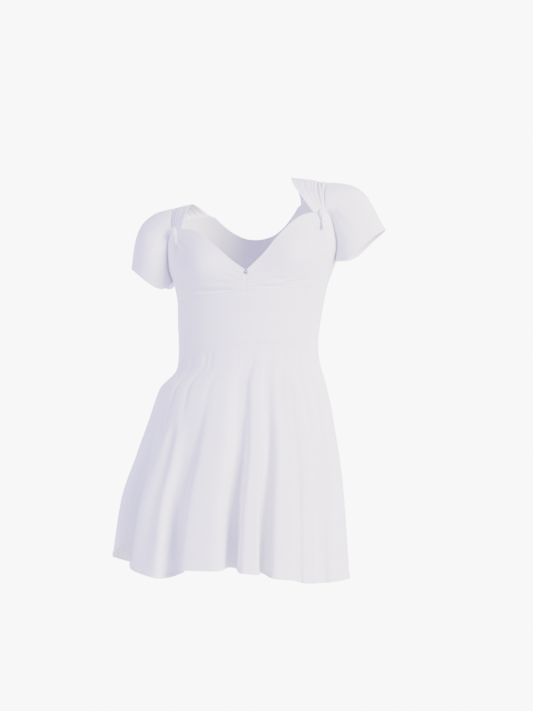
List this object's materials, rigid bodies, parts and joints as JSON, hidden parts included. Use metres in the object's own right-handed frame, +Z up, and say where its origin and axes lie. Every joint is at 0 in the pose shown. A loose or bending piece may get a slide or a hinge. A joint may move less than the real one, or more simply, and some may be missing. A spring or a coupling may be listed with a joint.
{
  "type": "tennis dress",
  "caption": "Short flared tennis dress in stretch knit, in its worn hollow form: sweetheart neckline, gathered bust cups, fitted midriff and cap sleeves knotted at the shoulders.",
  "frame": {"origin": "midpoint between the tops of the two shoulder straps, where the wearer holds the dress", "axes": "+Z up along the wearer, -Y the way the wearer faces, +X to the wearer's left"},
  "size_m": [0.4761, 0.3599, 0.7018],
  "materials": {
    "knit": "matte white stretch knit",
    "stud": "clear faceted stud"
  },
  "bodies": {
    "root": {"skirt_front": "knit", "skirt_back": "knit", "midriff_front": "knit", "midriff_back": "knit", "cup_left": "knit", "cup_right": "knit", "bodice_back": "knit", "sleeve_left": "knit", "sleeve_right": "knit", "knot_left": "knit", "knot_right": "knit", "centre_stud": "stud"}
  },
  "joints": []
}
